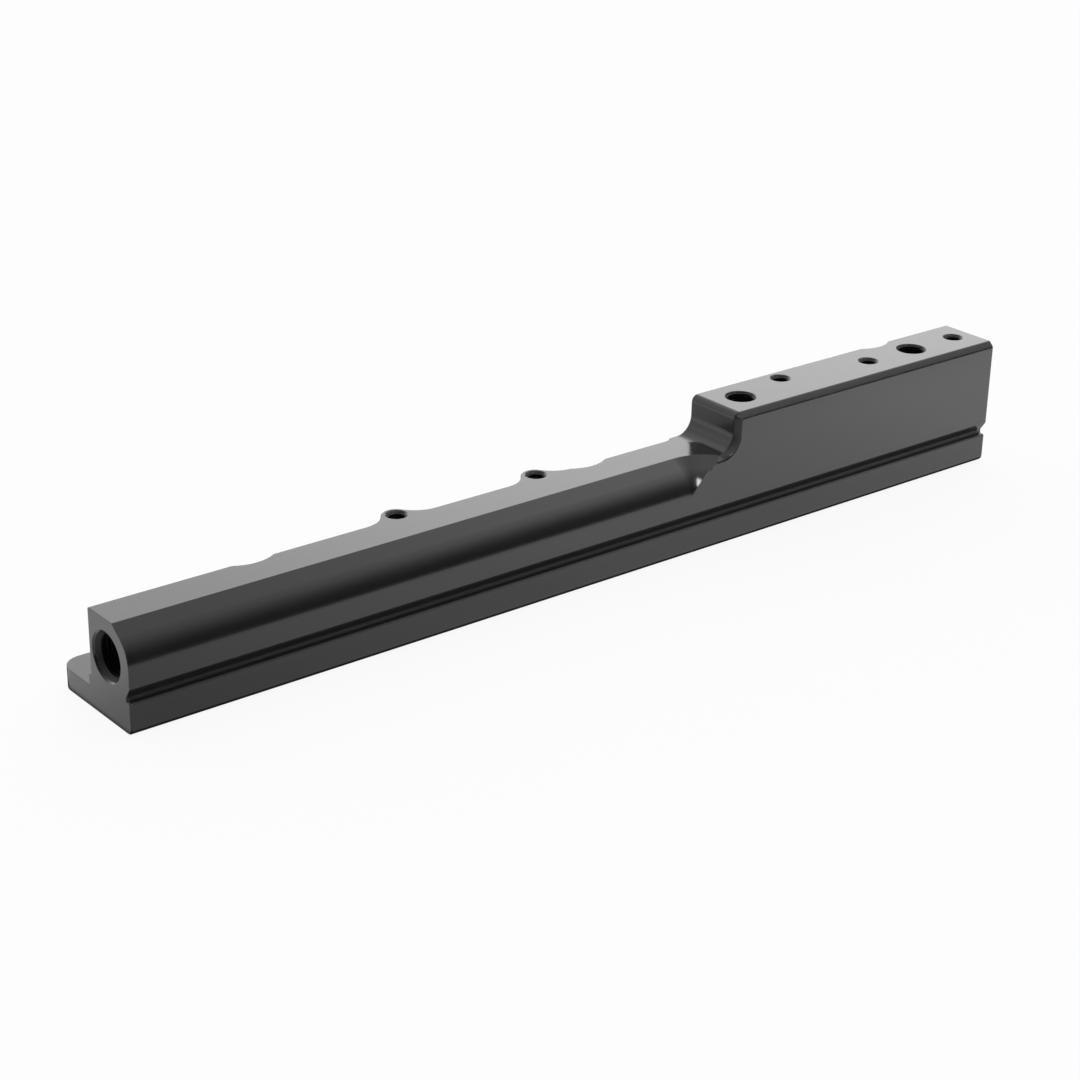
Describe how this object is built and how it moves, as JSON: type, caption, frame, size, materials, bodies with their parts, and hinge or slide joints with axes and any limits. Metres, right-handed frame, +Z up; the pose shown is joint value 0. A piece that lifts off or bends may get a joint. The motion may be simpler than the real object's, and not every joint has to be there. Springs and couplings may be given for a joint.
{
  "type": "fuel rail",
  "caption": "Straight machined fuel rail with a stepped end block, a bolting foot, end ports, top ports and injector sockets underneath.",
  "frame": {"origin": "middle of the footprint, at the underside", "axes": "+X along the rail from its plain end to its block end, +Y from the smooth front face to the bolting foot, +Z up from the underside"},
  "size_m": [0.342, 0.0402, 0.0441],
  "materials": {
    "rail_body": "satin black anodised"
  },
  "bodies": {
    "root": {"rail_body": "rail_body"}
  },
  "joints": []
}
